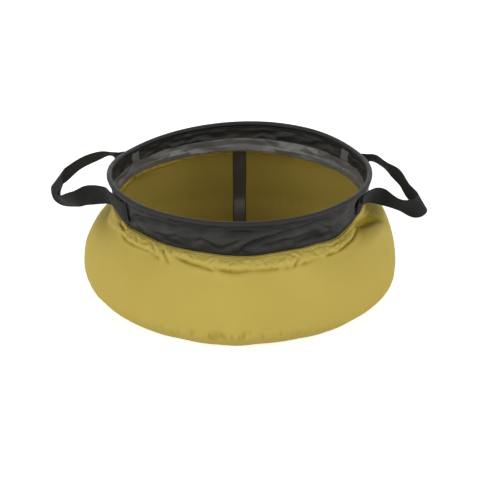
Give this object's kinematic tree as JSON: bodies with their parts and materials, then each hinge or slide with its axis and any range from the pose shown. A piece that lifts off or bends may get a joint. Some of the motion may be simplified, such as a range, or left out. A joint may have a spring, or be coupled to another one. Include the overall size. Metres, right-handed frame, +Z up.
{
  "type": "collapsible camp washbasin",
  "caption": "Soft round washbasin: a bulging coated-cloth bowl under a dark collar, hemmed over a spring-wire hoop, with webbing carry handles at its sides.",
  "frame": {"origin": "middle of the underside of the base panel, on the surface that the basin stands on", "axes": "+X from the left handle to the right handle, +Y from the front to the back, +Z up"},
  "size_m": [0.4488, 0.383, 0.159],
  "materials": {
    "body_cloth": "waterproof coated woven cloth, ochre yellow, low sheen",
    "collar_cloth": "coated woven cloth, charcoal, low sheen",
    "webbing": "ribbed woven webbing, black, matt",
    "seam_tape": "heat-bonded seam tape, grey, satin",
    "spring_steel": "drawn spring-steel wire",
    "plated_steel": "bright plated tube"
  },
  "bodies": {
    "base": {"base_panel": "body_cloth", "body_wall": "body_cloth", "base_seam_tape": "seam_tape", "body_seam_tape": "seam_tape"},
    "rim": {"rim_wire": "spring_steel", "wire_ferrule": "plated_steel", "rim_hem": "collar_cloth", "collar_front": "collar_cloth", "collar_back": "collar_cloth", "collar_left": "collar_cloth", "collar_right": "collar_cloth", "collar_seam_tape": "seam_tape", "front_left_tape": "seam_tape", "front_right_tape": "seam_tape", "back_left_tape": "seam_tape", "back_right_tape": "seam_tape", "left_front_tab": "webbing", "left_back_tab": "webbing", "right_front_tab": "webbing", "right_back_tab": "webbing"},
    "left_handle": {"left_handle_strap": "webbing"},
    "right_handle": {"right_handle_strap": "webbing"}
  },
  "joints": [
    {"name": "collapse", "type": "slide", "parent": "base", "child": "rim", "axis": [0, 0, -1], "range_m": [0, 0.1], "deforming": ["body_wall", "body_seam_tape"]},
    {"name": "left_handle_swing", "type": "hinge", "parent": "rim", "child": "left_handle", "pos_m": [-0.16527, 0, 0.13726], "axis": [0, 1, 0], "range_deg": [-40, 80]},
    {"name": "right_handle_swing", "type": "hinge", "parent": "rim", "child": "right_handle", "pos_m": [0.16527, 0, 0.13726], "axis": [0, -1, 0], "range_deg": [-40, 80]}
  ]
}
